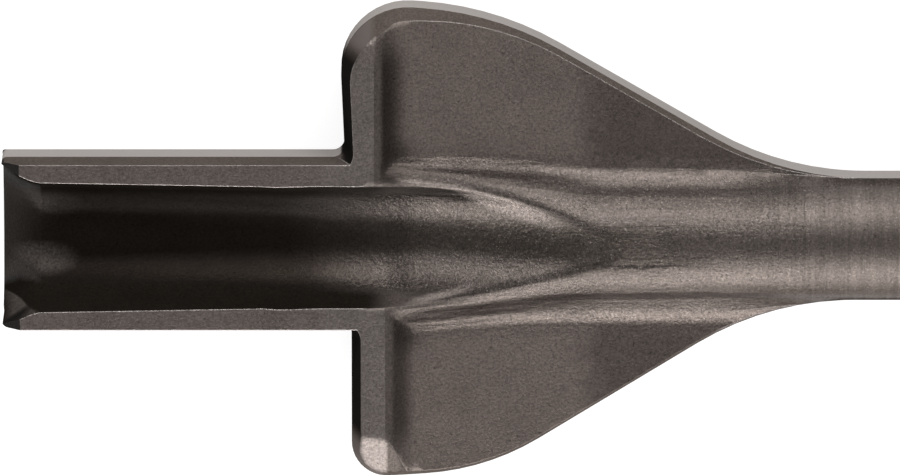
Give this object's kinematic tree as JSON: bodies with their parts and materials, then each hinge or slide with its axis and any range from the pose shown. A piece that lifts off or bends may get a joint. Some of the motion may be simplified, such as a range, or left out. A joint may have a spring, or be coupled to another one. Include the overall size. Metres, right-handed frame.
{
  "type": "channel chisel",
  "caption": "Forged chisel with a trough-shaped blade ground sharp inside its front end, two drafted side wings, a round bar and a slotted drive tang.",
  "frame": {"origin": "centre of the struck end face, on the bar's axis", "axes": "+X runs from the cutting edge to the struck end, +Z is the open side of the trough, +Y is the left wing seen from the struck end"},
  "size_m": [0.3, 0.074, 0.02],
  "materials": {
    "forged_steel": "dark as-forged and blasted, with the parting band and the rims ground bright"
  },
  "bodies": {
    "root": {"channel_chisel": "forged_steel"}
  },
  "joints": []
}
